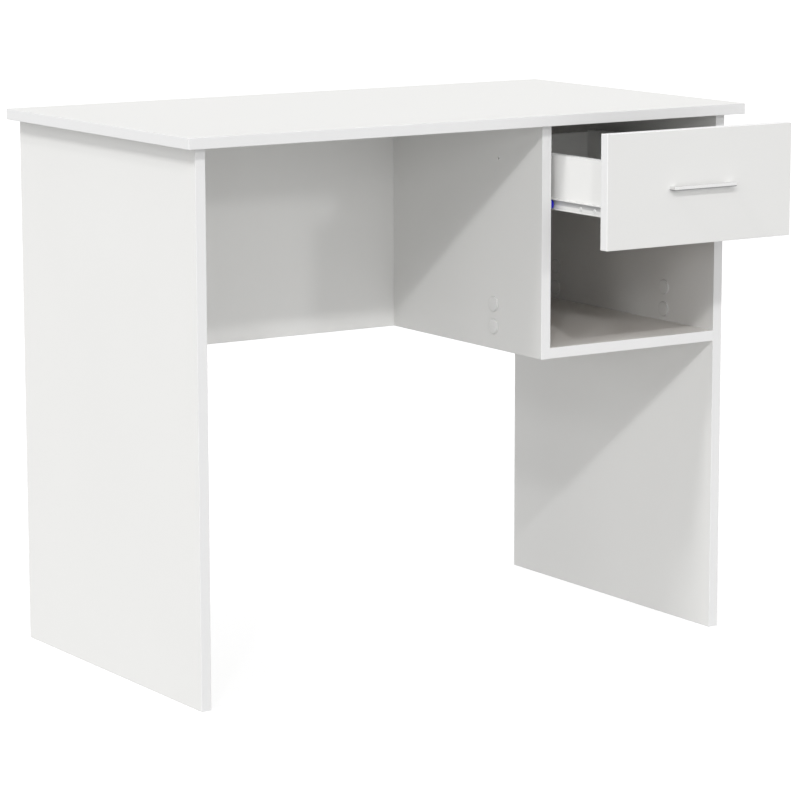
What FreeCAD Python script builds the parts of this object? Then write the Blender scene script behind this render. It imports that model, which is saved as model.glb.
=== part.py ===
import FreeCAD, Part
import math
import os

# Small writing desk in melamine-faced board, with one drawer on roller runners
# over an open compartment. Everything is drawn in "desk coordinates" first:
#   X = 0 at the left edge of the worktop, growing to the right
#   Y = 0 at the front edge of the worktop, growing to the back
#   Z = 0 on the floor
# and moved at the end, so that the part's origin lies on the floor at the
# centre of the whole object's box, with the drawer standing part open.

V = FreeCAD.Vector

# ---------------------------------------------------------------- dimensions
# carcass
DESK_W = 900.0          # worktop width
DESK_D = 509.0          # worktop depth
DESK_H = 756.5          # height to the worktop's upper face
BOARD = 15.0            # board thickness
SIDE_OVERHANG = 20.5    # worktop past the outer face of each side panel
FRONT_SETBACK = 20.5    # front edge of the upright boards behind the worktop's edge
DIVIDER_X = 564.5       # left face of the divider
CABINET_BOTTOM = 418.5  # underside of the compartment floor, divider and modesty panel
MODESTY_Y = 391.0       # front face of the modesty panel
ARRIS = 0.8             # rounding of the banded edges

# drawer
SIDE_GAP = 12.5         # runner space each side
DRAWER_SIDE_T = 12.0
DRAWER_SIDE_L = 415.0
DRAWER_SIDE_BOTTOM = 624.8
DRAWER_SIDE_TOP = 699.5
DRAWER_BACK_TOP = 696.5
DRAWER_BOTTOM_T = 3.0
GROOVE_DEPTH = 5.5
GROOVE_Z = 634.8        # lower wall of the groove for the drawer bottom
FRONT_X0, FRONT_X1 = 565.0, 879.0
FRONT_Z0, FRONT_Z1 = 584.5, 740.5
CLOSED_GAP = 1.0        # between the closed front and the carcass edges
REST_OPENING = 131.6    # how far the drawer stands open in the modelled pose
FULL_OPENING = 300.0    # travel of a 400 mm roller runner

# handle: bow pull, 96 mm between the screws
HANDLE_CENTRES = 96.0
HANDLE_L = 105.6
HANDLE_PROJ = 13.0
HANDLE_BAR_Z = 5.6
HANDLE_BAR_Y = 5.0
HANDLE_Z = 662.8

# roller runners
SHEET = 1.2
ROLLER_R = 6.2
ROLLER_Z = 631.2
FLANGE_Z = 637.6        # underside of the drawer member's running flange
RUNNER_L = 400.0
FRONT_ROLLER_Y = 30.0   # axle of the roller on the fixed member

# fixings
CAM_R, CAM_DEPTH, CAM_SETBACK = 7.5, 12.0, 34.0
SMALL_CAM_R, SMALL_CAM_DEPTH, SMALL_CAM_SETBACK = 6.0, 9.5, 24.0
DOWEL_R, DOWEL_FACE, DOWEL_EDGE = 4.0, 11.0, 19.0
CAP_R, CAP_T = 11.0, 3.0

# ---------------------------------------------------------------- derived
UNDER = DESK_H - BOARD                          # underside of the worktop
LEFT_X0, LEFT_X1 = SIDE_OVERHANG, SIDE_OVERHANG + BOARD
RIGHT_X1 = DESK_W - SIDE_OVERHANG
RIGHT_X0 = RIGHT_X1 - BOARD
DIV_X0, DIV_X1 = DIVIDER_X, DIVIDER_X + BOARD
MOD_Y0, MOD_Y1 = MODESTY_Y, MODESTY_Y + BOARD
BACK_Y0, BACK_Y1 = DESK_D - BOARD, DESK_D
FLOOR_Z0, FLOOR_Z1 = CABINET_BOTTOM, CABINET_BOTTOM + BOARD
CAB_MID = (DIV_X1 + RIGHT_X0) / 2.0             # mirror plane of the drawer unit

FRONT_BACK_Y = FRONT_SETBACK - CLOSED_GAP - REST_OPENING   # rear face of the drawer front
FRONT_FACE_Y = FRONT_BACK_Y - BOARD
DS_Y0, DS_Y1 = FRONT_BACK_Y, FRONT_BACK_Y + DRAWER_SIDE_L
DL_X0 = DIV_X1 + SIDE_GAP                       # outer face of the left drawer side
DL_X1 = DL_X0 + DRAWER_SIDE_T
DR_X1 = RIGHT_X0 - SIDE_GAP
DR_X0 = DR_X1 - DRAWER_SIDE_T
DB_Y0, DB_Y1 = DS_Y1 - DRAWER_SIDE_T, DS_Y1     # drawer back
BAR_FRONT_Y = FRONT_FACE_Y - HANDLE_PROJ

ORIGIN = V(DESK_W / 2.0, (BAR_FRONT_Y + DESK_D) / 2.0, 0.0)

X, Y, Z = V(1, 0, 0), V(0, 1, 0), V(0, 0, 1)
nodes = {}


# ---------------------------------------------------------------- helpers
def box(x0, y0, z0, x1, y1, z1):
    return Part.makeBox(x1 - x0, y1 - y0, z1 - z0, V(x0, y0, z0))


def cyl(p, d, r, l):
    return Part.makeCylinder(r, l, p, d)


def round_edges(shape, r, keep):
    """Round every straight edge whose middle passes keep(x, y, z)."""
    edges = []
    for e in shape.Edges:
        m = e.CenterOfMass
        if keep(m.x, m.y, m.z):
            edges.append(e)
    return shape.makeFillet(r, edges) if edges else shape


def near(a, b):
    return abs(a - b) < 0.01


def fuse(shapes):
    s = shapes[0]
    for o in shapes[1:]:
        s = s.fuse(o)
    return s.removeSplitter()


def cut(shape, tools):
    return shape.cut(tools) if tools else shape


def mirror_x(shape):
    return shape.mirror(V(CAB_MID, 0, 0), X)


def revolve_profile(points, p, d):
    """Solid of revolution: points are (distance along d, radius) from p."""
    d = V(d).normalize()
    ref = V(0, 0, 1) if abs(d.z) < 0.9 else V(1, 0, 0)
    u = d.cross(ref).normalize()
    pts = [p + d * a + u * r for a, r in points]
    face = Part.Face(Part.makePolygon(pts + [pts[0]]))
    return face.revolve(p, d, 360)


drills = {}             # board name -> cutting tools


def drill(name, *tools):
    drills.setdefault(name, []).extend(tools)


bolts, cams, dowels = [], [], []


def cam_joint(p, d, cam_face, face_board, edge_board):
    """Connecting bolt at p, on the plane between a face and an edge.
    d points from the face board into the edge board; cam_face is the outward
    normal of the edge board's face that the cam is set in."""
    d, n = V(d), V(cam_face)
    bolt = fuse([
        revolve_profile([(-10.5, 0), (-10.5, 1.9), (-9.6, 2.5), (0.0, 2.5), (0.0, 3.0), (26.0, 3.0),
                         (27.5, 2.0), (31.0, 2.0), (31.6, 3.1), (35.0, 3.1), (36.0, 2.2), (36.0, 0)], p, d)])
    bolts.append(bolt)
    drill(face_board, cyl(p - d * 11.0, d, 2.55, 11.0))
    centre = p + d * CAM_SETBACK
    face_pt = centre + n * (BOARD / 2.0)
    drill(edge_board, cyl(p, d, 3.6, CAM_SETBACK), cyl(face_pt, n * -1.0, CAM_R + 0.08, CAM_DEPTH + 0.4))
    cam = cyl(face_pt, n * -1.0, CAM_R, CAM_DEPTH)
    side = d.cross(n)
    # mouth and inner cavity for the bolt's head, and the driver's cross slot
    cam = cam.cut(cyl(centre - d * 9.0, d, 3.5, 9.0 + 4.5))
    a = Part.makeBox(7.0, 1.4, 1.8)
    for q, w in ((d, side), (side, d)):
        m = FreeCAD.Matrix(q.x, w.x, n.x, 0, q.y, w.y, n.y, 0, q.z, w.z, n.z, 0, 0, 0, 0, 1)
        b = a.copy()
        b.translate(V(-3.5, -0.7, -1.8))
        b = b.transformGeometry(m)
        b.translate(face_pt)
        cam = cam.cut(b)
    cams.append(cam)


def dowel_joint(p, d, face_board, edge_board):
    d = V(d)
    dowels.append(revolve_profile([(-DOWEL_FACE, 0), (-DOWEL_FACE, DOWEL_R - 0.8), (-DOWEL_FACE + 0.8, DOWEL_R),
                                   (DOWEL_EDGE - 0.8, DOWEL_R), (DOWEL_EDGE, DOWEL_R - 0.8), (DOWEL_EDGE, 0)], p, d))
    drill(face_board, cyl(p - d * (DOWEL_FACE + 0.5), d, DOWEL_R + 0.03, DOWEL_FACE + 0.5))
    drill(edge_board, cyl(p, d, DOWEL_R + 0.03, DOWEL_EDGE + 0.8))


# ---------------------------------------------------------------- carcass joints
left_mid = (LEFT_X0 + LEFT_X1) / 2.0
div_mid = (DIV_X0 + DIV_X1) / 2.0
right_mid = (RIGHT_X0 + RIGHT_X1) / 2.0
mod_mid = (MOD_Y0 + MOD_Y1) / 2.0
back_mid = (BACK_Y0 + BACK_Y1) / 2.0
floor_mid = (FLOOR_Z0 + FLOOR_Z1) / 2.0

for y in (70.0, 460.0):
    cam_joint(V(left_mid, y, UNDER), -Z, X, "worktop", "left_side_panel")
    cam_joint(V(div_mid, y, UNDER), -Z, X, "worktop", "divider_panel")
    cam_joint(V(right_mid, y, UNDER), -Z, -X, "worktop", "right_side_panel")
for x in (150.0, 450.0):
    cam_joint(V(x, mod_mid, UNDER), -Z, Y, "worktop", "modesty_panel")
for x in (650.0, 794.0):
    cam_joint(V(x, back_mid, UNDER), -Z, Y, "worktop", "compartment_back_panel")
for z in (530.0, 660.0):
    cam_joint(V(LEFT_X1, mod_mid, z), X, Y, "left_side_panel", "modesty_panel")
    cam_joint(V(DIV_X0, mod_mid, z), -X, Y, "divider_panel", "modesty_panel")
for z in (500.0, 660.0):
    cam_joint(V(DIV_X1, back_mid, z), X, Y, "divider_panel", "compartment_back_panel")
    cam_joint(V(RIGHT_X0, back_mid, z), -X, Y, "right_side_panel", "compartment_back_panel")
for y in (70.0, 440.0):
    cam_joint(V(DIV_X1, y, floor_mid), X, -Z, "divider_panel", "compartment_floor")
    cam_joint(V(RIGHT_X0, y, floor_mid), -X, -Z, "right_side_panel", "compartment_floor")

for y in (150.0, 330.0):
    dowel_joint(V(left_mid, y, UNDER), -Z, "worktop", "left_side_panel")
    dowel_joint(V(div_mid, y, UNDER), -Z, "worktop", "divider_panel")
    dowel_joint(V(right_mid, y, UNDER), -Z, "worktop", "right_side_panel")
dowel_joint(V(300.0, mod_mid, UNDER), -Z, "worktop", "modesty_panel")
dowel_joint(V(LEFT_X1, mod_mid, 600.0), X, "left_side_panel", "modesty_panel")
dowel_joint(V(DIV_X0, mod_mid, 600.0), -X, "divider_panel", "modesty_panel")
dowel_joint(V(DIV_X1, back_mid, 580.0), X, "divider_panel", "compartment_back_panel")
dowel_joint(V(RIGHT_X0, back_mid, 580.0), -X, "right_side_panel", "compartment_back_panel")
for y in (200.0, 320.0):
    dowel_joint(V(DIV_X1, y, floor_mid), X, "divider_panel", "compartment_floor")
    dowel_joint(V(RIGHT_X0, y, floor_mid), -X, "right_side_panel", "compartment_floor")

nodes["carcass_cam_bolts"] = Part.makeCompound(bolts)
nodes["carcass_cam_locks"] = Part.makeCompound(cams)
nodes["wooden_dowels"] = Part.makeCompound(dowels)


# ---------------------------------------------------------------- round cover caps
def cap(p, n):
    """Domed cap on a peg: p on the board's face, n outward."""
    r, t = CAP_R, CAP_T
    prof = [(-7.0, 0), (-7.0, 2.1), (-6.4, 2.5), (0.0, 2.5), (0.0, r)]
    # rounded rim, then a shallow dome
    rim = 1.8
    prof.append((t - rim - 0.4, r))
    for k in range(1, 7):
        a = math.radians(15.0 * k)
        prof.append((t - 0.4 - rim + rim * math.sin(a), r - rim + rim * math.cos(a)))
    prof += [(t - 0.12, (r - rim) * 0.55), (t, 0)]
    return revolve_profile(prof, p, n)


cap_z = (450.4, 482.4)          # two rows of the 32 mm system
cap_y_front, cap_y_rear = 135.0, 402.0
outer, inner, right_caps = [], [], []
for z in cap_z:
    outer.append(cap(V(DIV_X0, cap_y_front, z), -X))
    drill("divider_panel", cyl(V(DIV_X0 - 1, cap_y_front, z), X, 2.53, BOARD + 2))
    for y in (cap_y_front, cap_y_rear):
        inner.append(cap(V(DIV_X1, y, z), X))
        right_caps.append(cap(V(RIGHT_X0, y, z), -X))
        drill("right_side_panel", cyl(V(RIGHT_X0 - 1, y, z), X, 2.53, 9.0))
    drill("divider_panel", cyl(V(DIV_X1 + 1, cap_y_rear, z), -X, 2.53, 9.0))
nodes["cover_caps_divider_left"] = Part.makeCompound(outer)
nodes["cover_caps_divider_right"] = Part.makeCompound(inner)
nodes["cover_caps_side_panel"] = Part.makeCompound(right_caps)
# shallow pilot hole high on the divider's left face
drill("divider_panel", cyl(V(DIV_X0 - 1, 124.5, 687.5), X, 1.6, 4.0))

# ---------------------------------------------------------------- runners
W0 = DIV_X1                     # cabinet wall on the left
M0 = DL_X0                      # drawer wall on the left


def prism(pts, y0, y1):
    """Closed XZ outline swept along Y."""
    ps = [V(x, y0, z) for x, z in pts]
    return Part.Face(Part.makePolygon(ps + [ps[0]])).extrude(V(0, y1 - y0, 0))


FLOOR_FLANGE_Z = ROLLER_Z - ROLLER_R - 0.1      # running surface of the fixed member
CM_Y0, CM_Y1 = FRONT_SETBACK + 1.2, FRONT_SETBACK + 1.2 + RUNNER_L
DM_Y0 = FRONT_BACK_Y + 0.8
DM_Y1 = DM_Y0 + RUNNER_L
REAR_ROLLER_Y = DM_Y1 - 8.0
cm_top = FLANGE_Z + 0.4
# fixed member: C section open towards the drawer, cut back at the front roller
fixed = prism([(W0, FLOOR_FLANGE_Z - SHEET), (W0 + 8.9, FLOOR_FLANGE_Z - SHEET), (W0 + 8.9, FLOOR_FLANGE_Z),
               (W0 + SHEET, FLOOR_FLANGE_Z), (W0 + SHEET, cm_top), (W0 + 5.6, cm_top),
               (W0 + 5.6, cm_top + SHEET), (W0, cm_top + SHEET)], FRONT_ROLLER_Y + ROLLER_R + 2.0, CM_Y1)
ear = box(W0, CM_Y0, FLOOR_FLANGE_Z - SHEET, W0 + SHEET, FRONT_ROLLER_Y + ROLLER_R + 2.5, cm_top + SHEET)
ear = round_edges(ear, 3.0, lambda x, y, z: near(y, CM_Y0) and (near(z, FLOOR_FLANGE_Z - SHEET) or near(z, cm_top + SHEET)))
stop_y = REAR_ROLLER_Y - (FULL_OPENING - REST_OPENING) - ROLLER_R - 0.6
stop = box(W0 + SHEET - 0.2, stop_y - SHEET, cm_top - 5.0, W0 + 5.2, stop_y, cm_top + 0.2)
fixed = fuse([fixed, ear, stop])
# drawer member: web on the drawer side, running flange outward, shelf under the side
moving = prism([(M0 - 6.0, FLANGE_Z), (M0 - SHEET, FLANGE_Z), (M0 - SHEET, DRAWER_SIDE_BOTTOM),
                (M0 - 2.6, DRAWER_SIDE_BOTTOM), (M0 - 2.6, DRAWER_SIDE_BOTTOM - SHEET),
                (M0 + DRAWER_SIDE_T, DRAWER_SIDE_BOTTOM - SHEET), (M0 + DRAWER_SIDE_T, DRAWER_SIDE_BOTTOM),
                (M0, DRAWER_SIDE_BOTTOM), (M0, FLANGE_Z + SHEET), (M0 - 6.0, FLANGE_Z + SHEET)], DM_Y0, DM_Y1)
moving = round_edges(moving, 0.5, lambda x, y, z: near(y, (DM_Y0 + DM_Y1) / 2) and (
    (near(x, M0 - 6.0)) or (near(x, M0 - 2.6) and near(z, DRAWER_SIDE_BOTTOM - SHEET))))


def axle(wall_x, sgn, y, reach):
    """Shouldered rivet standing on a web whose face is at wall_x, pointing along sgn."""
    d = X * sgn
    return revolve_profile([(-SHEET, 0), (-SHEET, 1.5), (0.0, 1.5), (0.0, 3.0), (reach[0], 3.0), (reach[0], 2.0),
                            (reach[1], 2.0), (reach[1], 3.2), (reach[2] - 0.3, 3.2), (reach[2], 2.7), (reach[2], 0)],
                           V(wall_x, y, ROLLER_Z), d)


def roller(x0, x1, y):
    """Grooved nylon roller with a bore, between x0 and x1."""
    r, w = ROLLER_R, x1 - x0
    prof = [(0.0, 2.06), (0.0, 4.0), (0.5, 4.0), (0.5, 5.0), (0.0, 5.0), (0.0, r - 0.5), (0.5, r), (w - 0.5, r), (w, r - 0.5),
            (w, 5.0), (w - 0.5, 5.0), (w - 0.5, 4.0), (w, 4.0), (w, 2.06)]
    return revolve_profile(prof, V(x0, y, ROLLER_Z), X)


# front roller on the fixed member, rear roller on the drawer member
front_axle = axle(W0 + SHEET, 1, FRONT_ROLLER_Y, (1.4, 6.6, 7.4))
front_roller = roller(W0 + SHEET + 1.5, W0 + SHEET + 6.5, FRONT_ROLLER_Y)
rear_axle = axle(M0 - SHEET, -1, REAR_ROLLER_Y, (1.7, 8.5, 9.3))
rear_roller = roller(M0 - SHEET - 8.4, M0 - SHEET - 1.8, REAR_ROLLER_Y)
fixed = fixed.cut(cyl(V(W0 - 1, FRONT_ROLLER_Y, ROLLER_Z), X, 1.52, 4.0))
moving = moving.cut(cyl(V(M0 + 1, REAR_ROLLER_Y, ROLLER_Z), -X, 1.52, 4.0))

# screws: flush countersunk in the cabinet, low pan heads on the drawer
cab_screws, drawer_screws = [], []
for y in (58.0, 186.0, 378.0):
    s = revolve_profile([(-10.0, 0), (-8.0, 2.0), (-2.0, 2.0), (-0.1, 3.9), (0.0, 3.9), (0.0, 0)], V(W0 + SHEET, y, ROLLER_Z), X)
    s = s.cut(box(W0 + SHEET - 0.9, y - 2.6, ROLLER_Z - 0.4, W0 + SHEET + 1, y + 2.6, ROLLER_Z + 0.4))
    s = s.cut(box(W0 + SHEET - 0.9, y - 0.4, ROLLER_Z - 2.6, W0 + SHEET + 1, y + 0.4, ROLLER_Z + 2.6))
    cab_screws.append(s)
    tool = revolve_profile([(-10.5, 0), (-8.2, 2.04), (-2.04, 2.04), (-0.1, 4.0), (1.0, 4.0), (1.0, 0)], V(W0 + SHEET, y, ROLLER_Z), X)
    fixed = fixed.cut(tool)
    drill("divider_panel", tool)
    drill("right_side_panel", mirror_x(tool))
for y in (-65.0, -33.0, 60.0, 210.0):
    s = revolve_profile([(-9.0, 0), (-7.4, 1.7), (0.0, 1.7), (0.0, 3.1), (0.4, 3.1), (0.9, 2.0), (0.9, 0)], V(M0 - SHEET, y, ROLLER_Z - 1.0), -X)
    s = s.cut(box(M0 - SHEET - 2, y - 1.8, ROLLER_Z - 1.35, M0 - SHEET - 0.3, y + 1.8, ROLLER_Z - 0.65))
    s = s.cut(box(M0 - SHEET - 2, y - 0.35, ROLLER_Z - 2.8, M0 - SHEET - 0.3, y + 0.35, ROLLER_Z + 0.8))
    drawer_screws.append(s)
    tool = cyl(V(M0 - SHEET - 0.01, y, ROLLER_Z - 1.0), X, 1.74, 9.5)
    moving = moving.cut(tool)
    drill("drawer_left_side", tool)
    drill("drawer_right_side", mirror_x(tool))

nodes["cabinet_runner_left"] = fixed
nodes["cabinet_runner_right"] = mirror_x(fixed)
nodes["drawer_runner_left"] = moving
nodes["drawer_runner_right"] = mirror_x(moving)
nodes["front_roller_axle_left"] = front_axle
nodes["front_roller_axle_right"] = mirror_x(front_axle)
nodes["front_roller_left"] = front_roller
nodes["front_roller_right"] = mirror_x(front_roller)
nodes["rear_roller_axle_left"] = rear_axle
nodes["rear_roller_axle_right"] = mirror_x(rear_axle)
nodes["rear_roller_left"] = rear_roller
nodes["rear_roller_right"] = mirror_x(rear_roller)
nodes["cabinet_runner_screws"] = Part.makeCompound(cab_screws + [mirror_x(s) for s in cab_screws])
nodes["drawer_runner_screws"] = Part.makeCompound(drawer_screws + [mirror_x(s) for s in drawer_screws])

# ---------------------------------------------------------------- drawer fixings
d_bolts, d_cams = [], []
for z in (655.0, 684.0):
    for wall, n in ((DL_X1, X), (DR_X0, -X)):
        mid = wall - n.x * DRAWER_SIDE_T / 2.0
        p = V(mid, FRONT_BACK_Y, z)
        d_bolts.append(revolve_profile([(-10.0, 0), (-10.0, 1.9), (-9.2, 2.5), (18.0, 2.5), (19.0, 1.5), (22.0, 1.5),
                                        (22.5, 2.4), (25.0, 2.4), (25.8, 1.6), (25.8, 0)], p, Y))
        drill("drawer_front", cyl(p - Y * 10.5, Y, 2.54, 10.5))
        c = p + Y * SMALL_CAM_SETBACK
        f = V(wall, c.y, c.z)
        name = "drawer_left_side" if n.x > 0 else "drawer_right_side"
        drill(name, cyl(p, Y, 2.8, SMALL_CAM_SETBACK), cyl(f, n * -1.0, SMALL_CAM_R + 0.08, SMALL_CAM_DEPTH + 0.3))
        cam = cyl(f, n * -1.0, SMALL_CAM_R, SMALL_CAM_DEPTH).cut(cyl(c - Y * 8.0, Y, 2.75, 11.5))
        x0, x1 = sorted((f.x + n.x, f.x - n.x * 1.4))
        cam = cam.cut(box(x0, f.y - 2.8, f.z - 0.6, x1, f.y + 2.8, f.z + 0.6))
        cam = cam.cut(box(x0, f.y - 0.6, f.z - 2.8, x1, f.y + 0.6, f.z + 2.8))
        d_cams.append(cam)
nodes["drawer_cam_bolts"] = Part.makeCompound(d_bolts)
nodes["drawer_cam_locks"] = Part.makeCompound(d_cams)

b_screws = []
for z in (654.0, 682.0):
    for wall, s in ((DL_X0, 1), (DR_X1, -1)):
        p = V(wall, (DB_Y0 + DB_Y1) / 2.0, z)
        d = X * s
        scr = revolve_profile([(0.0, 0), (0.0, 3.3), (2.0, 1.5), (27.0, 1.5), (30.0, 0.2), (30.0, 0)], p, d)
        scr = scr.cut(box(wall - 0.9, p.y - 2.2, z - 0.35, wall + 0.9, p.y + 2.2, z + 0.35))
        scr = scr.cut(box(wall - 0.9, p.y - 0.35, z - 2.2, wall + 0.9, p.y + 0.35, z + 2.2))
        b_screws.append(scr)
        tool = revolve_profile([(-0.5, 0), (-0.5, 3.4), (0.0, 3.4), (2.05, 1.54), (30.5, 1.54), (30.5, 0)], p, d)
        drill("drawer_left_side" if s > 0 else "drawer_right_side", tool)
        drill("drawer_back", tool)
nodes["drawer_back_screws"] = Part.makeCompound(b_screws)

# ---------------------------------------------------------------- handle
hx0, hx1 = CAB_MID - HANDLE_L / 2.0, CAB_MID + HANDLE_L / 2.0
foot_w = HANDLE_L - HANDLE_CENTRES              # feet are centred on the screws
hz0, hz1 = HANDLE_Z - HANDLE_BAR_Z / 2.0, HANDLE_Z + HANDLE_BAR_Z / 2.0
handle = fuse([box(hx0, BAR_FRONT_Y, hz0, hx1, BAR_FRONT_Y + HANDLE_BAR_Y, hz1),
               box(hx0, BAR_FRONT_Y, hz0, hx0 + foot_w, FRONT_FACE_Y, hz1),
               box(hx1 - foot_w, BAR_FRONT_Y, hz0, hx1, FRONT_FACE_Y, hz1)])
inner_corner = BAR_FRONT_Y + HANDLE_BAR_Y
handle = round_edges(handle, 3.0, lambda x, y, z: near(z, HANDLE_Z) and near(y, inner_corner))
handle = round_edges(handle, 1.2, lambda x, y, z: not near(y, FRONT_FACE_Y) and not (
    near(z, HANDLE_Z) and y > BAR_FRONT_Y + 0.5))
h_screws = []
for x in (CAB_MID - HANDLE_CENTRES / 2.0, CAB_MID + HANDLE_CENTRES / 2.0):
    p = V(x, FRONT_BACK_Y, HANDLE_Z)
    h_screws.append(revolve_profile([(2.4, 0), (2.4, 2.4), (1.6, 3.5), (0.5, 4.0), (0.0, 4.0), (0.0, 2.0), (-BOARD - 7.0, 2.0),
                                     (-BOARD - 7.6, 1.4), (-BOARD - 7.6, 0)], p, Y))
    h_screws[-1] = h_screws[-1].cut(box(x - 2.4, p.y + 1.2, HANDLE_Z - 0.45, x + 2.4, p.y + 3.0, HANDLE_Z + 0.45))
    h_screws[-1] = h_screws[-1].cut(box(x - 0.45, p.y + 1.2, HANDLE_Z - 2.4, x + 0.45, p.y + 3.0, HANDLE_Z + 2.4))
    drill("drawer_front", cyl(p + Y, -Y, 2.25, BOARD + 2))
    handle = handle.cut(cyl(V(x, FRONT_FACE_Y + 0.01, HANDLE_Z), -Y, 2.04, 8.2))
nodes["drawer_handle"] = handle
nodes["handle_screws"] = Part.makeCompound(h_screws)

# ---------------------------------------------------------------- boards
groove = lambda x0, y0, x1, y1: box(x0, y0, GROOVE_Z, x1, y1, GROOVE_Z + DRAWER_BOTTOM_T + 0.2)

top = box(0, 0, UNDER, DESK_W, DESK_D, DESK_H)
top = round_edges(top, ARRIS, lambda x, y, z: True)
nodes["worktop"] = cut(top, drills["worktop"])


def front_edges(y0, y1, z0):
    """Front and rear upright edges and the lower edges of a standing board."""
    return lambda x, y, z: near(y, y0) and z > z0 + 1 and z < UNDER - 1 or near(y, y1) and z > z0 + 1 and z < UNDER - 1


for name, x0, x1 in (("left_side_panel", LEFT_X0, LEFT_X1), ("right_side_panel", RIGHT_X0, RIGHT_X1)):
    s = box(x0, FRONT_SETBACK, 0, x1, DESK_D, UNDER)
    s = round_edges(s, ARRIS * 0.75, front_edges(FRONT_SETBACK, DESK_D, 0))
    nodes[name] = cut(s, drills[name])

s = box(DIV_X0, FRONT_SETBACK, CABINET_BOTTOM, DIV_X1, DESK_D, UNDER)
s = round_edges(s, 0.6, lambda x, y, z: near(y, FRONT_SETBACK) and z < UNDER - 1 and near(x, DIV_X0)
                or near(z, CABINET_BOTTOM) and near(x, DIV_X0))
nodes["divider_panel"] = cut(s, drills["divider_panel"])

s = box(LEFT_X1, MOD_Y0, CABINET_BOTTOM, DIV_X0, MOD_Y1, UNDER)
s = round_edges(s, 0.6, lambda x, y, z: near(z, CABINET_BOTTOM) and (near(y, MOD_Y0) or near(y, MOD_Y1)))
nodes["modesty_panel"] = cut(s, drills["modesty_panel"])

s = box(DIV_X1, FRONT_SETBACK, FLOOR_Z0, RIGHT_X0, BACK_Y0, FLOOR_Z1)
s = round_edges(s, 0.6, lambda x, y, z: near(y, FRONT_SETBACK) and 600 < x < 800)
nodes["compartment_floor"] = cut(s, drills["compartment_floor"])

s = box(DIV_X1, BACK_Y0, CABINET_BOTTOM, RIGHT_X0, BACK_Y1, UNDER)
nodes["compartment_back_panel"] = cut(s, drills["compartment_back_panel"])

# drawer box
s = box(FRONT_X0, FRONT_FACE_Y, FRONT_Z0, FRONT_X1, FRONT_BACK_Y, FRONT_Z1)
s = round_edges(s, ARRIS, lambda x, y, z: True)
s = s.cut(groove(DL_X1 - GROOVE_DEPTH, FRONT_BACK_Y - GROOVE_DEPTH, DR_X0 + GROOVE_DEPTH, FRONT_BACK_Y + 1))
nodes["drawer_front"] = cut(s, drills["drawer_front"])

for name, x0, x1, g0, g1 in (("drawer_left_side", DL_X0, DL_X1, DL_X1 - GROOVE_DEPTH, DL_X1 + 1),
                             ("drawer_right_side", DR_X0, DR_X1, DR_X0 - 1, DR_X0 + GROOVE_DEPTH)):
    s = box(x0, DS_Y0, DRAWER_SIDE_BOTTOM, x1, DS_Y1, DRAWER_SIDE_TOP)
    s = round_edges(s, 0.8, lambda x, y, z: near(z, DRAWER_SIDE_TOP) and DS_Y0 + 1 < y < DS_Y1 - 1)
    s = s.cut(groove(g0, DS_Y0 - 1, g1, DS_Y1 - 4.0))
    nodes[name] = cut(s, drills[name])

s = box(DL_X1, DB_Y0, DRAWER_SIDE_BOTTOM, DR_X0, DB_Y1, DRAWER_BACK_TOP)
s = round_edges(s, 0.8, lambda x, y, z: near(z, DRAWER_BACK_TOP) and DL_X1 + 1 < x < DR_X0 - 1)
s = s.cut(groove(DL_X1 - 1, DB_Y0 - 1, DR_X0 + 1, DB_Y0 + GROOVE_DEPTH))
nodes["drawer_back"] = cut(s, drills["drawer_back"])

nodes["drawer_bottom"] = box(DL_X1 - GROOVE_DEPTH + 0.3, FRONT_BACK_Y - GROOVE_DEPTH + 0.3, GROOVE_Z + 0.1,
                             DR_X0 + GROOVE_DEPTH - 0.3, DB_Y0 + GROOVE_DEPTH - 0.3, GROOVE_Z + 0.1 + DRAWER_BOTTOM_T)

# ---------------------------------------------------------------- export
os.makedirs("parts", exist_ok=True)
for name in sorted(nodes):
    shape = nodes[name].copy()
    shape.translate(V(-ORIGIN.x, -ORIGIN.y, -ORIGIN.z))
    for s in shape.Solids:
        if not s.isValid() or s.Volume <= 0:
            print("check", name, s.isValid(), s.Volume)
    if not shape.Solids:
        print("no solid in", name)
    shape.exportStep("parts/" + name + ".step")
print("nodes", len(nodes))
print("origin in desk coordinates", ORIGIN.x, ORIGIN.y, ORIGIN.z)
print("box Y", BAR_FRONT_Y, DESK_D)
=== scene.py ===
import bpy
import math
from mathutils import Matrix, Vector


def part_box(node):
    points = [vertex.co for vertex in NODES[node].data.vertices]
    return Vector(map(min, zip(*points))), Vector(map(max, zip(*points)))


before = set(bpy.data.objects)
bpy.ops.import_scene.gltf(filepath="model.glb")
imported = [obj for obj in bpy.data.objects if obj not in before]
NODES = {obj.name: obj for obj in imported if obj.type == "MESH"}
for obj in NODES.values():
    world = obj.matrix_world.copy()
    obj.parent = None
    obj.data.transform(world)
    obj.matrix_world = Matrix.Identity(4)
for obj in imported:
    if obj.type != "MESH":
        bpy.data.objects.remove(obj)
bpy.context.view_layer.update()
scene = bpy.context.scene


# =====================================================================
# camera: the photograph's viewing angle, in the frame of the CAD model
# =====================================================================
cam_data = bpy.data.cameras.new("camera")
cam_data.sensor_width = 36.0
cam_data.lens = 153.64
cam_data.shift_x = 0.0
cam_data.shift_y = 0.0
cam_data.clip_start = 0.1
cam_data.clip_end = 200.0
cam_data.dof.use_dof = False
camera = bpy.data.objects.new("camera", cam_data)
scene.collection.objects.link(camera)
scene.camera = camera
_right = Vector((0.83623989, -0.54836158, -0.00155782)).normalized()
_fwd = Vector((0.53979715, 0.82367285, -0.17372986)).normalized()
_up = _right.cross(_fwd).normalized()
_right = _fwd.cross(_up).normalized()
_m = Matrix((_right, _up, -_fwd)).transposed().to_4x4()
_m.translation = Vector((-2.588417, -3.933716, 1.180218))
camera.matrix_world = _m
scene.view_settings.view_transform = "Standard"


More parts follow.
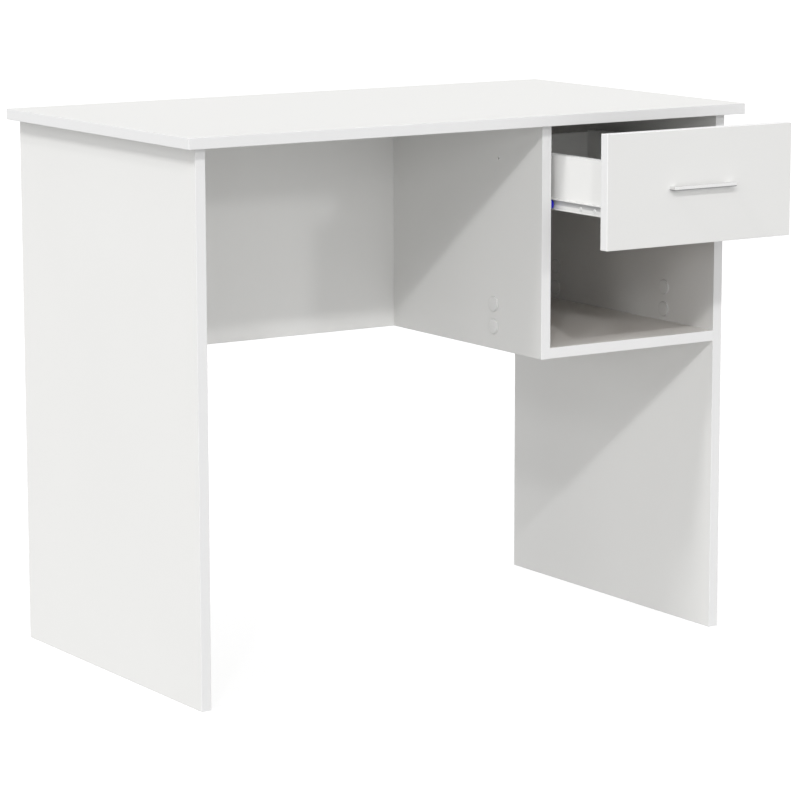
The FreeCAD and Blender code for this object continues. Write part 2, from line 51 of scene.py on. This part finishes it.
# =====================================================================
# small helpers for node trees
# =====================================================================
class Graph:
    """A material's node tree, built with short calls. A socket argument is
    either a constant or another node's output."""

    def __init__(self, name):
        self.mat = bpy.data.materials.new(name)
        self.mat.use_nodes = True
        self.t = self.mat.node_tree
        self.t.nodes.clear()
        self.out = self.t.nodes.new("ShaderNodeOutputMaterial")
        self.bsdf = self.t.nodes.new("ShaderNodeBsdfPrincipled")
        self.t.links.new(self.bsdf.outputs["BSDF"], self.out.inputs["Surface"])
        self.coord = self.t.nodes.new("ShaderNodeTexCoord")
        self.pos = self.coord.outputs["Object"]

    def _set(self, socket, value):
        if isinstance(value, bpy.types.NodeSocket):
            self.t.links.new(value, socket)
        elif value is not None:
            socket.default_value = value

    def math(self, op, a, b=None, c=None, clamp=False):
        n = self.t.nodes.new("ShaderNodeMath")
        n.operation = op
        n.use_clamp = clamp
        for s, v in zip(n.inputs, (a, b, c)):
            self._set(s, v)
        return n.outputs[0]

    def vec(self, op, a, b=None, scale=None):
        n = self.t.nodes.new("ShaderNodeVectorMath")
        n.operation = op
        self._set(n.inputs[0], a)
        if b is not None:
            self._set(n.inputs[1], b)
        if scale is not None:
            self._set(n.inputs["Scale"], scale)
        return n.outputs["Value"] if op in ("LENGTH", "DOT_PRODUCT", "DISTANCE") else n.outputs["Vector"]

    def split(self, v):
        n = self.t.nodes.new("ShaderNodeSeparateXYZ")
        self._set(n.inputs[0], v)
        return n.outputs[0], n.outputs[1], n.outputs[2]

    def join(self, x, y, z):
        n = self.t.nodes.new("ShaderNodeCombineXYZ")
        for s, v in zip(n.inputs, (x, y, z)):
            self._set(s, v)
        return n.outputs[0]

    def scaled(self, v, s):
        return self.vec("MULTIPLY", v, s)

    def noise(self, v, scale, detail=3.0, rough=0.55, distort=0.0):
        n = self.t.nodes.new("ShaderNodeTexNoise")
        self._set(n.inputs["Vector"], v)
        n.inputs["Scale"].default_value = scale
        n.inputs["Detail"].default_value = detail
        n.inputs["Roughness"].default_value = rough
        n.inputs["Distortion"].default_value = distort
        return n.outputs["Fac"]

    def voronoi(self, v, scale, feature="F1", output="Distance", rand=1.0):
        n = self.t.nodes.new("ShaderNodeTexVoronoi")
        n.feature = feature
        self._set(n.inputs["Vector"], v)
        n.inputs["Scale"].default_value = scale
        n.inputs["Randomness"].default_value = rand
        return n.outputs[output]

    def remap(self, v, a, b, c, d, smooth=False):
        n = self.t.nodes.new("ShaderNodeMapRange")
        n.interpolation_type = "SMOOTHSTEP" if smooth else "LINEAR"
        n.clamp = True
        self._set(n.inputs["Value"], v)
        for name, val in (("From Min", a), ("From Max", b), ("To Min", c), ("To Max", d)):
            n.inputs[name].default_value = val
        return n.outputs["Result"]

    def mix(self, fac, a, b, blend="MIX"):
        n = self.t.nodes.new("ShaderNodeMix")
        n.data_type = "RGBA"
        n.blend_type = blend
        self._set(n.inputs["Factor"], fac)
        for i, v in (("A", a), ("B", b)):
            s = [x for x in n.inputs if x.name == i and x.type == "RGBA"][0]
            self._set(s, v if isinstance(v, bpy.types.NodeSocket) else (*v, 1.0))
        return [o for o in n.outputs if o.type == "RGBA"][0]

    def bump(self, height, distance, strength=1.0, normal=None):
        n = self.t.nodes.new("ShaderNodeBump")
        n.inputs["Strength"].default_value = strength
        n.inputs["Distance"].default_value = distance
        self._set(n.inputs["Height"], height)
        if normal is not None:
            self._set(n.inputs["Normal"], normal)
        return n.outputs["Normal"]

    def finish(self, color=None, rough=None, normal=None, **consts):
        b = self.bsdf.inputs
        if color is not None:
            self._set(b["Base Color"], color if isinstance(color, bpy.types.NodeSocket) else (*color, 1.0))
        if rough is not None:
            self._set(b["Roughness"], rough)
        if normal is not None:
            self._set(b["Normal"], normal)
        for k, v in consts.items():
            b[k.replace("_", " ")].default_value = v
        return self.mat

    # -- distance to the faces of an upright box, in metres, at the shaded point
    def box_depths(self, lo, hi):
        c = tuple((a + b) / 2 for a, b in zip(lo, hi))
        h = tuple((b - a) / 2 for a, b in zip(lo, hi))
        d = self.vec("ABSOLUTE", self.vec("SUBTRACT", self.pos, c))
        return self.split(self.vec("SUBTRACT", h, d))


def dress(node, mat):
    """Give a CAD node its finished material in every slot."""
    ob = NODES[node]
    if not ob.material_slots:
        ob.data.materials.append(mat)
    for s in ob.material_slots:
        s.material = mat


WHITE = (0.802, 0.800, 0.786)
TAPE = 0.803


# =====================================================================
# white melamine-faced particle board
# =====================================================================
def board(node, face=WHITE, taped=True, tape_tone=TAPE, waxed=None):
    """Matt white melamine paper on both faces, 1 mm edge tape round the rim
    with its hairline joint, bare chipboard wherever a hole or groove cuts in."""
    lo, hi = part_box(node)
    lo, hi = tuple(lo), tuple(hi)
    size = [b - a for a, b in zip(lo, hi)]
    thick = size.index(min(size))
    g = Graph("white_board_" + node)
    ax = g.box_depths(lo, hi)
    across = [ax[i] for i in range(3) if i != thick]
    rim = g.math("MINIMUM", across[0], across[1])          # distance in from the rim
    inside = g.math("MINIMUM", rim, ax[thick])             # 0 on the outer skin
    raw = g.remap(inside, 0.0007, 0.0011, 0.0, 1.0, smooth=True)
    if waxed:                                              # a pilot hole stopped with white wax: (y, z) of its axis
        _x, y, z = g.split(g.vec("SUBTRACT", g.pos, (0.0, *waxed)))
        away = g.math("SQRT", g.math("ADD", g.math("MULTIPLY", y, y), g.math("MULTIPLY", z, z)))
        raw = g.math("MULTIPLY", raw, g.remap(away, 0.0025, 0.0030, 0.0, 1.0))
    # -- melamine paper: pearl texture, faint drift of tone and sheen
    pearl = g.noise(g.pos, 900.0, 2.0, 0.6)
    drift = g.noise(g.pos, 3.1, 2.0, 0.5)
    tone = g.math("MULTIPLY_ADD", pearl, 0.45, g.math("MULTIPLY", drift, 0.55))
    paper = g.mix(g.remap(tone, 0.3, 0.7, 0.0, 1.0),
                  tuple(c * 0.985 for c in face), tuple(min(1.0, c * 1.015) for c in face))
    # -- the tape: a hair cooler and smoother than the paper
    tape = g.remap(rim, 0.00075, 0.00115, 1.0, 0.0, smooth=True)
    skin = g.mix(tape, paper, (tape_tone, tape_tone, tape_tone)) if taped else paper
    # -- glue joint: a hairline between the paper and the tape
    seam = g.remap(g.math("ABSOLUTE", g.math("SUBTRACT", rim, 0.00108)), 0.00005, 0.00016, 1.0, 0.0, smooth=True)
    seam = g.math("MULTIPLY", seam, g.remap(ax[thick], 0.0, 0.0004, 1.0, 0.0))
    if taped:
        skin = g.mix(g.math("MULTIPLY", seam, 0.45), skin, (0.50, 0.47, 0.42))
    # -- handling: the corners of the rim are rubbed a little
    rub = g.math("MULTIPLY",
                 g.remap(g.math("MAXIMUM", rim, ax[thick]), 0.0, 0.0016, 1.0, 0.0, smooth=True),
                 g.remap(g.noise(g.pos, 45.0, 3.0, 0.7), 0.52, 0.72, 0.0, 1.0))
    skin = g.mix(g.math("MULTIPLY", rub, 0.22), skin, (0.62, 0.59, 0.54))
    # -- chipboard core seen in holes and grooves: flakes of pressed wood
    fr = g.split(g.voronoi(g.scaled(g.pos, (1.0, 1.0, 2.2)), 520.0, "F1", "Color"))[0]
    core = g.mix(fr, (0.36, 0.24, 0.13), (0.70, 0.53, 0.34))
    color = g.mix(raw, skin, core)
    # -- gloss
    r = g.remap(drift, 0.3, 0.7, 0.46, 0.55)
    r = g.math("MULTIPLY_ADD", g.math("SUBTRACT", pearl, 0.5), 0.06, r)
    r = g.math("MULTIPLY_ADD", tape, -0.07, r)
    r = g.math("MULTIPLY_ADD", rub, -0.05, r)
    r = g.math("MULTIPLY_ADD", raw, 0.35, r, clamp=True)
    # -- relief: pearl texture, sunk glue joint, open flakes (heights in metres)
    h = g.math("MULTIPLY", pearl, 0.00002)
    if taped:
        h = g.math("MULTIPLY_ADD", seam, -0.00005, h)
    h = g.math("MULTIPLY_ADD", g.math("MULTIPLY", raw, fr), 0.0004, h)
    n = g.bump(h, 1.0, 0.8)
    mat = g.finish(color, r, n)
    dress(node, mat)


for name in ("modesty_panel", "compartment_back_panel"):
    board(name)
board("worktop", tape_tone=0.780)
for name in ("left_side_panel", "right_side_panel"):
    board(name, tape_tone=0.788)
# drawer front: a darker face than the other boards, painted shade, and a paler edge tape, painted light
board("drawer_front", face=(0.762, 0.760, 0.748), tape_tone=0.842)
# divider: a darker face than the other boards, painted shade
board("divider_panel", face=(0.750, 0.748, 0.735), waxed=(-0.05995, 0.6875))
# compartment floor: a brighter, warmer face than the other boards, painted light inside the compartment
board("compartment_floor", face=(0.870, 0.855, 0.826))
for name in ("drawer_left_side", "drawer_right_side", "drawer_back"):      # a whiter face than the carcass boards: painted light on the drawer sides and back
    board(name, face=(0.868, 0.867, 0.855))


# =====================================================================
# drawer bottom: 3 mm hardboard, lacquered above, raw with a screen
# pattern below
# =====================================================================
def hardboard(node):
    lo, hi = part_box(node)
    g = Graph("white_hardboard_" + node)
    x, y, z = g.split(g.pos)
    under = g.remap(z, lo.z + 0.0004, lo.z + 0.0008, 1.0, 0.0)
    fibre = g.noise(g.scaled(g.pos, (1.0, 0.35, 1.0)), 420.0, 4.0, 0.65)
    tone = g.noise(g.pos, 9.0, 3.0, 0.6)
    top = g.mix(g.math("ADD", g.math("MULTIPLY", tone, 0.6), g.math("MULTIPLY", fibre, 0.4)),
                (0.765, 0.762, 0.75), (0.81, 0.81, 0.80))
    wx = g.math("SINE", g.math("MULTIPLY", x, 2 * math.pi / 0.0016))
    wy = g.math("SINE", g.math("MULTIPLY", y, 2 * math.pi / 0.0016))
    screen = g.math("MULTIPLY", wx, wy)
    raw = g.mix(g.remap(g.noise(g.pos, 240.0, 5.0, 0.7), 0.3, 0.7, 0.0, 1.0), (0.22, 0.13, 0.07), (0.40, 0.26, 0.15))
    raw = g.mix(g.remap(screen, -1.0, 1.0, 0.0, 0.35), raw, (0.14, 0.08, 0.045))
    color = g.mix(under, top, raw)
    r = g.math("ADD", g.remap(fibre, 0.3, 0.7, 0.40, 0.50), g.math("MULTIPLY", under, 0.35))
    n = g.bump(fibre, 0.00003, 0.6)
    n = g.bump(g.math("MULTIPLY", screen, under), 0.0002, 0.9, n)
    dress(node, g.finish(color, r, n))


hardboard("drawer_bottom")


# =====================================================================
# epoxy-coated sheet steel of the runners
# =====================================================================
def enamel(node):
    """White powder coat with orange peel, thinner and greyer on its edges,
    and the polished line where the roller runs."""
    lo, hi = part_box(node)
    g = Graph("white_enamelled_steel_" + node)
    x, y, z = g.split(g.pos)
    peel = g.noise(g.pos, 700.0, 2.0, 0.5)
    broad = g.noise(g.pos, 40.0, 3.0, 0.6)
    base = g.mix(g.remap(broad, 0.3, 0.7, 0.0, 1.0), (0.76, 0.76, 0.75), (0.80, 0.80, 0.79))
    bev = g.t.nodes.new("ShaderNodeBevel")
    bev.samples = 4
    bev.inputs["Radius"].default_value = 0.0006
    geo = g.t.nodes.new("ShaderNodeNewGeometry")
    edge = g.remap(g.vec("DOT_PRODUCT", bev.outputs[0], geo.outputs["Normal"]), 0.80, 0.985, 1.0, 0.0)
    chips = g.math("MULTIPLY", edge, g.remap(g.noise(g.pos, 160.0, 4.0, 0.7), 0.50, 0.66, 0.0, 1.0))
    base = g.mix(g.math("MULTIPLY", chips, 0.45), base, (0.42, 0.42, 0.43))
    track = g.remap(g.math("ABSOLUTE", g.math("SUBTRACT", z, 0.6376)), 0.0002, 0.0011, 0.25, 0.0)
    track = g.math("MULTIPLY", track, g.remap(g.noise(g.scaled(g.pos, (1.0, 0.05, 1.0)), 900.0, 2.0), 0.35, 0.65, 0.3, 1.0))
    base = g.mix(track, base, (0.56, 0.57, 0.62))
    r = g.math("ADD", g.remap(peel, 0.3, 0.7, 0.30, 0.40), g.math("MULTIPLY", chips, 0.15))
    if node.startswith("drawer_runner"):
        # painted shade: a grey band under the running flange, on the upper half of the web, standing in for the
        # shadow the flange throws there
        web_shade = g.math("MULTIPLY", g.remap(z, 0.6296, 0.6316, 0.0, 1.0, smooth=True), g.remap(z, 0.6370, 0.6374, 1.0, 0.0))
        web_shade = g.math("MULTIPLY", web_shade, g.remap(g.noise(g.scaled(g.pos, (1.0, 0.12, 1.0)), 210.0, 3.0), 0.30, 0.70, 0.75, 1.0))
        base = g.mix(web_shade, base, (0.50, 0.50, 0.505))
        r = g.math("MULTIPLY_ADD", web_shade, 0.10, r)
    n = g.bump(peel, 0.00006, 0.7)
    dress(node, g.finish(base, r, n, Coat_Weight=0.15, Coat_Roughness=0.2))


for name in ("cabinet_runner_left", "cabinet_runner_right", "drawer_runner_left", "drawer_runner_right"):
    enamel(name)


# =====================================================================
# blue nylon rollers
# =====================================================================
def nylon(node):
    lo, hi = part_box(node)
    c = (lo + hi) / 2
    g = Graph("blue_nylon_" + node)
    d = g.vec("SUBTRACT", g.pos, tuple(c))
    x, y, z = g.split(d)
    rad = g.math("SQRT", g.math("ADD", g.math("MULTIPLY", y, y), g.math("MULTIPLY", z, z)))
    swirl = g.noise(g.pos, 300.0, 4.0, 0.6, 0.4)
    color = g.mix(g.remap(swirl, 0.3, 0.7, 0.0, 1.0), (0.004, 0.003, 0.42), (0.009, 0.007, 0.58))
    # the tread is rubbed paler, and moulding rings show on the flanks
    tread = g.remap(rad, 0.0054, 0.0061, 0.0, 0.35, smooth=True)
    color = g.mix(g.math("MULTIPLY", tread, g.remap(g.noise(g.pos, 500.0, 3.0), 0.4, 0.6, 0.2, 1.0)), color, (0.05, 0.045, 0.50))
    rings = g.math("SINE", g.math("MULTIPLY", rad, 2 * math.pi / 0.0008))
    r = g.remap(swirl, 0.3, 0.7, 0.34, 0.46)
    n = g.bump(g.math("MULTIPLY", rings, 0.5), 0.00004, 0.5)
    n = g.bump(swirl, 0.00005, 0.4, n)
    dress(node, g.finish(color, r, n, Specular_IOR_Level=0.35, Subsurface_Weight=0.03,
                         Subsurface_Radius=(0.3, 0.3, 1.0), Subsurface_Scale=0.001))


for name in ("front_roller_left", "front_roller_right", "rear_roller_left", "rear_roller_right"):
    nylon(name)


# =====================================================================
# bright zinc plate: screws, bolts and roller axles
# =====================================================================
def zinc(node, pale=False):
    """Bright zinc; pale = the dull, nearly white zinc-flake coat of the
    runner screws."""
    g = Graph(("zinc_flake_screw_" if pale else "zinc_plated_steel_") + node)
    broad = g.noise(g.pos, 130.0, 4.0, 0.6)
    fine = g.noise(g.pos, 1900.0, 2.0, 0.6)
    color = g.mix(g.remap(broad, 0.3, 0.7, 0.0, 1.0), (0.60, 0.62, 0.66), (0.76, 0.76, 0.73))
    color = g.mix(g.remap(g.noise(g.pos, 60.0, 3.0, 0.7), 0.55, 0.75, 0.0, 0.25), color, (0.62, 0.58, 0.46))
    bev = g.t.nodes.new("ShaderNodeBevel")
    bev.samples = 4
    bev.inputs["Radius"].default_value = 0.0003
    geo = g.t.nodes.new("ShaderNodeNewGeometry")
    edge = g.remap(g.vec("DOT_PRODUCT", bev.outputs[0], geo.outputs["Normal"]), 0.80, 0.99, 1.0, 0.0)
    color = g.mix(g.math("MULTIPLY", edge, 0.5), color, (0.86, 0.86, 0.86))
    r = g.remap(g.math("ADD", g.math("MULTIPLY", broad, 0.5), g.math("MULTIPLY", fine, 0.5)), 0.3, 0.7, 0.22, 0.40)
    n = g.bump(fine, 0.00002, 0.5)
    if pale:
        color = g.mix(0.75, color, (0.84, 0.84, 0.83))
        r = g.math("ADD", r, 0.2)
        dress(node, g.finish(color, r, n, Metallic=0.25))
    else:
        dress(node, g.finish(color, r, n, Metallic=1.0))


for name in ("front_roller_axle_left", "front_roller_axle_right", "rear_roller_axle_left", "rear_roller_axle_right",
             "carcass_cam_bolts", "drawer_cam_bolts", "drawer_back_screws", "handle_screws"):
    zinc(name)
for name in ("cabinet_runner_screws", "drawer_runner_screws"):
    zinc(name, pale=True)


# =====================================================================
# zinc die-cast cams
# =====================================================================
def diecast(node):
    g = Graph("zinc_die_casting_" + node)
    cast = g.noise(g.pos, 850.0, 4.0, 0.65)
    flow = g.noise(g.scaled(g.pos, (1.0, 1.0, 3.0)), 140.0, 3.0, 0.6, 0.8)
    color = g.mix(g.remap(flow, 0.3, 0.7, 0.0, 1.0), (0.44, 0.45, 0.47), (0.60, 0.61, 0.62))
    color = g.mix(g.remap(cast, 0.55, 0.75, 0.0, 0.4), color, (0.30, 0.30, 0.31))
    r = g.remap(cast, 0.3, 0.7, 0.42, 0.62)
    n = g.bump(cast, 0.00008, 0.6)
    dress(node, g.finish(color, r, n, Metallic=1.0))


for name in ("carcass_cam_locks", "drawer_cam_locks"):
    diecast(name)


# =====================================================================
# satin chrome of the bow handle, brushed along its length
# =====================================================================
def satin_chrome(node):
    lo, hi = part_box(node)
    g = Graph("brushed_chrome_handle_" + node)
    lines = g.noise(g.scaled(g.pos, (0.012, 1.0, 1.0)), 5200.0, 3.0, 0.65)
    long_ = g.noise(g.scaled(g.pos, (0.05, 1.0, 1.0)), 900.0, 3.0, 0.6)
    haze = g.noise(g.pos, 35.0, 3.0, 0.6)
    color = g.mix(g.remap(lines, 0.3, 0.7, 0.0, 1.0), (0.83, 0.83, 0.825), (0.90, 0.90, 0.895))
    color = g.mix(g.remap(haze, 0.55, 0.8, 0.0, 0.15), color, (0.74, 0.74, 0.74))
    r = g.math("ADD", g.remap(long_, 0.3, 0.7, 0.10, 0.17), g.math("MULTIPLY", g.math("SUBTRACT", haze, 0.5), 0.04))
    # painted reflection: the underside and lower arris are painted dark, standing in for the shade below the bar
    # that they mirror, and made duller
    low = g.remap(g.split(g.pos)[2], lo.z + 0.0011, lo.z + 0.0018, 1.0, 0.0, smooth=True)
    color = g.mix(g.math("MULTIPLY", low, 0.9), color, (0.24, 0.24, 0.245))
    r = g.math("MULTIPLY_ADD", low, 0.22, r)
    n = g.bump(g.math("ADD", g.math("MULTIPLY", lines, 0.6), g.math("MULTIPLY", long_, 0.4)), 0.00001, 0.6)
    dress(node, g.finish(color, r, n, Metallic=1.0))


satin_chrome("drawer_handle")


# =====================================================================
# moulded white cover caps
# =====================================================================
def cap_plastic(node, tone, rim):
    """White plastic whose rim is painted to tone rim: painted shade that dims the light falling on the rim."""
    g = Graph("white_cap_plastic_" + node)
    fine = g.noise(g.pos, 1400.0, 2.0, 0.5)
    broad = g.noise(g.pos, 60.0, 3.0, 0.6)
    color = g.mix(g.remap(broad, 0.3, 0.7, 0.0, 1.0), (tone - 0.014, tone - 0.015, tone - 0.025), (tone + 0.014, tone + 0.012, tone + 0.001))
    facing = g.math("ABSOLUTE", g.split(g.coord.outputs["Normal"])[0])      # 1 on the flat of the disc
    edge = g.remap(facing, 0.90, 0.995, 1.0, 0.0)
    # painted shade on the rim of the disc
    color = g.mix(g.math("MULTIPLY", edge, 0.9), color, (rim, rim, rim * 0.985))
    r = g.math("SUBTRACT", g.remap(fine, 0.3, 0.7, 0.50, 0.58), g.math("MULTIPLY", edge, 0.04))
    n = g.bump(fine, 0.00003, 0.5)
    dress(node, g.finish(color, r, n, Subsurface_Weight=0.04, Subsurface_Radius=(1.0, 0.9, 0.8), Subsurface_Scale=0.001))


# rim: tone of the painted shade on each cap's rim
for name, tone, rim in (("cover_caps_divider_left", 0.750, 0.60), ("cover_caps_divider_right", 0.750, 0.56),
                        ("cover_caps_side_panel", 0.800, 0.58)):
    cap_plastic(name, tone, rim)


# =====================================================================
# beech dowels
# =====================================================================
def beech(node):
    g = Graph("beech_dowel_" + node)
    grain = g.noise(g.scaled(g.pos, (0.15, 1.0, 1.0)), 900.0, 4.0, 0.6, 0.3)
    pores = g.voronoi(g.scaled(g.pos, (0.2, 1.0, 1.0)), 1800.0)
    color = g.mix(g.remap(grain, 0.3, 0.7, 0.0, 1.0), (0.50, 0.34, 0.19), (0.68, 0.50, 0.31))
    color = g.mix(g.remap(pores, 0.0, 0.12, 0.5, 0.0), color, (0.28, 0.16, 0.08))
    n = g.bump(grain, 0.0001, 0.6)
    dress(node, g.finish(color, g.remap(grain, 0.3, 0.7, 0.55, 0.7), n))


beech("wooden_dowels")


# =====================================================================
# studio: plain pale floor, soft light
# =====================================================================
AMBIENT = 0.495         # what diffuse rays find outside the studio lights
AMBIENT_GLOSS = 1.0     # the white tent that glossy surfaces mirror
FLOOR_GLOW = 0.295      # light thrown up by the pale floor
FLOOR_SEEN = 0.80       # the same floor as the camera sees it
FLOOR_GLOSS = 0.60      # and as glossy surfaces mirror it


def glow_shader(t, glow):
    b = t.nodes.new("ShaderNodeBsdfPrincipled")
    b.inputs["Base Color"].default_value = (0.30, 0.30, 0.30, 1.0)
    b.inputs["Roughness"].default_value = 0.9
    b.inputs["Specular IOR Level"].default_value = 0.1
    b.inputs["Emission Color"].default_value = (1.0, 1.0, 1.0, 1.0)
    b.inputs["Emission Strength"].default_value = glow
    return b


floor_mat = bpy.data.materials.new("studio_floor")
floor_mat.use_nodes = True
ft = floor_mat.node_tree
ft.nodes.clear()
f_out = ft.nodes.new("ShaderNodeOutputMaterial")
f_mix = ft.nodes.new("ShaderNodeMixShader")
f_path = ft.nodes.new("ShaderNodeLightPath")
f_lit, f_gloss, f_seen = glow_shader(ft, FLOOR_GLOW), glow_shader(ft, FLOOR_GLOSS), glow_shader(ft, FLOOR_SEEN)
f_lit.name, f_gloss.name, f_seen.name = "lit", "gloss", "seen"
f_mix0 = ft.nodes.new("ShaderNodeMixShader")
ft.links.new(f_path.outputs["Is Glossy Ray"], f_mix0.inputs["Fac"])
ft.links.new(f_lit.outputs[0], f_mix0.inputs[1])
ft.links.new(f_gloss.outputs[0], f_mix0.inputs[2])
ft.links.new(f_path.outputs["Is Camera Ray"], f_mix.inputs["Fac"])
ft.links.new(f_mix0.outputs[0], f_mix.inputs[1])
ft.links.new(f_seen.outputs[0], f_mix.inputs[2])
ft.links.new(f_mix.outputs[0], f_out.inputs["Surface"])

mesh = bpy.data.meshes.new("studio_floor")
S = 60.0
mesh.from_pydata([(-S, -S, 0), (S, -S, 0), (S, S, 0), (-S, S, 0)], [], [(0, 1, 2, 3)])
floor = bpy.data.objects.new("studio_floor", mesh)
scene.collection.objects.link(floor)
mesh.materials.append(floor_mat)

world = bpy.data.worlds.new("studio")
scene.world = world
world.use_nodes = True
wt = world.node_tree
wt.nodes.clear()


def background(name, strength):
    n = wt.nodes.new("ShaderNodeBackground")
    n.name = name
    n.inputs["Color"].default_value = (1.0, 1.0, 1.0, 1.0)
    n.inputs["Strength"].default_value = strength
    return n


w_out = wt.nodes.new("ShaderNodeOutputWorld")
w_mix1 = wt.nodes.new("ShaderNodeMixShader")
w_mix2 = wt.nodes.new("ShaderNodeMixShader")
w_path = wt.nodes.new("ShaderNodeLightPath")
w_lit, w_gloss, w_seen = background("ambient", AMBIENT), background("gloss", AMBIENT_GLOSS), background("seen", 1.0)
wt.links.new(w_path.outputs["Is Glossy Ray"], w_mix1.inputs["Fac"])
wt.links.new(w_lit.outputs[0], w_mix1.inputs[1])
wt.links.new(w_gloss.outputs[0], w_mix1.inputs[2])
wt.links.new(w_path.outputs["Is Camera Ray"], w_mix2.inputs["Fac"])
wt.links.new(w_mix1.outputs[0], w_mix2.inputs[1])
wt.links.new(w_seen.outputs[0], w_mix2.inputs[2])
wt.links.new(w_mix2.outputs[0], w_out.inputs["Surface"])
world.cycles.max_bounces = 4


def sun(name, azimuth, elevation, strength, angle, bounces):
    """A distant lamp. Azimuth 0 stands in front of the desk (-Y) and grows
    towards its left side (-X); strength is the light it throws square on."""
    data = bpy.data.lights.new(name, "SUN")
    data.energy = strength * math.pi
    data.angle = math.radians(angle)
    data.cycles.max_bounces = bounces
    ob = bpy.data.objects.new(name, data)
    a, e = math.radians(azimuth), math.radians(elevation)
    s = Vector((-math.sin(a) * math.cos(e), -math.cos(a) * math.cos(e), math.sin(e)))
    ob.rotation_mode = "QUATERNION"
    ob.rotation_quaternion = s.to_track_quat("Z", "Y")
    ob.visible_camera = False
    scene.collection.objects.link(ob)
    return ob


#    name            azim  elev  strength angle bounces
LIGHTS = (("key_light", 25, 35, 0.165, 2.0, 4),
          ("second_key_light", 40, 31, 0.118, 3.5, 4),
          ("left_key_light", 55, 24, 0.075, 8.0, 4),
          ("left_light", 85, 48, 0.335, 10.0, 1),
          ("left_low_light", 70, 16, 0.047, 12.0, 1),
          ("top_light", 150, 72, 0.051, 20.0, 0),
          ("left_front_light", 38, 9, 0.028, 12.0, 4),
          ("left_front_low_light", 50, 9, 0.040, 6.0, 4),
          ("front_fill", 0, 12, 0.067, 25.0, 4),
          ("front_edge", -15, 17, 0.082, 4.0, 4))
for row in LIGHTS:
    sun(*row)
